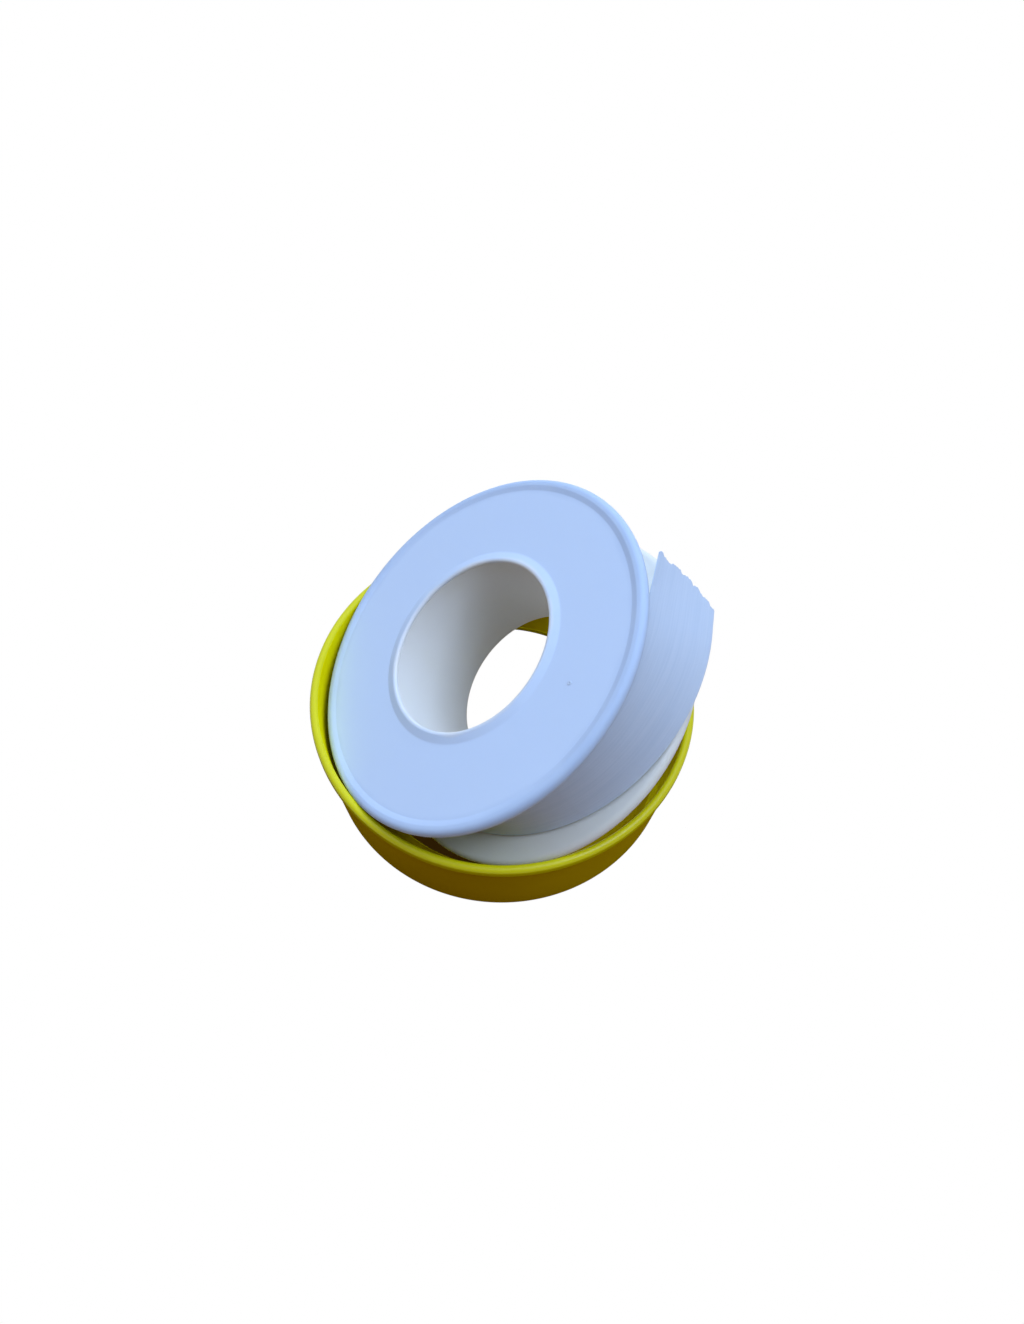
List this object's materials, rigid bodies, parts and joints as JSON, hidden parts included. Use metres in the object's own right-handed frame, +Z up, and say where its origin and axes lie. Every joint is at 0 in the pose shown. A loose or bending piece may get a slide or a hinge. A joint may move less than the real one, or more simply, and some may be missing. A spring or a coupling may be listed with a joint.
{
  "type": "thread seal tape roll",
  "caption": "Roll of thread seal tape on a flanged two-piece spool, leaning in its round open cover with the torn end of the tape sprung free.",
  "frame": {"origin": "middle of the cover's underside, on the surface that the cover lies on; it is also the bottom centre of the bounding box", "axes": "+Z up along the cover's axis; the spool's axis leans from +Z towards -X by 35.18 degrees in the XZ plane, so its front flange faces up and to -X; +Y is the viewer's far side in the picture"},
  "size_m": [0.054, 0.054, 0.0417],
  "materials": {
    "yellow_plastic": "smooth moulded yellow plastic",
    "white_plastic": "smooth moulded white plastic, slightly translucent",
    "tape_film": "matte unsintered film with fine lengthwise streaks"
  },
  "bodies": {
    "cover": {"cover_shell": "yellow_plastic"},
    "tape_wrap": {"outer_turn": "tape_film"},
    "spool": {"rear_flange_hub": "white_plastic", "front_flange": "white_plastic", "wound_roll": "tape_film"},
    "tape_end": {"free_end": "tape_film"}
  },
  "joints": [
    {"name": "spool_lift", "type": "slide", "parent": "cover", "child": "tape_wrap", "axis": [0, 0, 1], "range_m": [0, 0.06]},
    {"name": "spool_spin", "type": "hinge", "parent": "tape_wrap", "child": "spool", "pos_m": [0, 0, 0.02084], "axis": [-0.5761, 0, 0.8174], "continuous": true},
    {"name": "tape_peel", "type": "hinge", "parent": "tape_wrap", "child": "tape_end", "pos_m": [0.01105, -0.0184, 0.02863], "axis": [0.5856, -0.1635, -0.794], "range_deg": [-8, 45]}
  ]
}
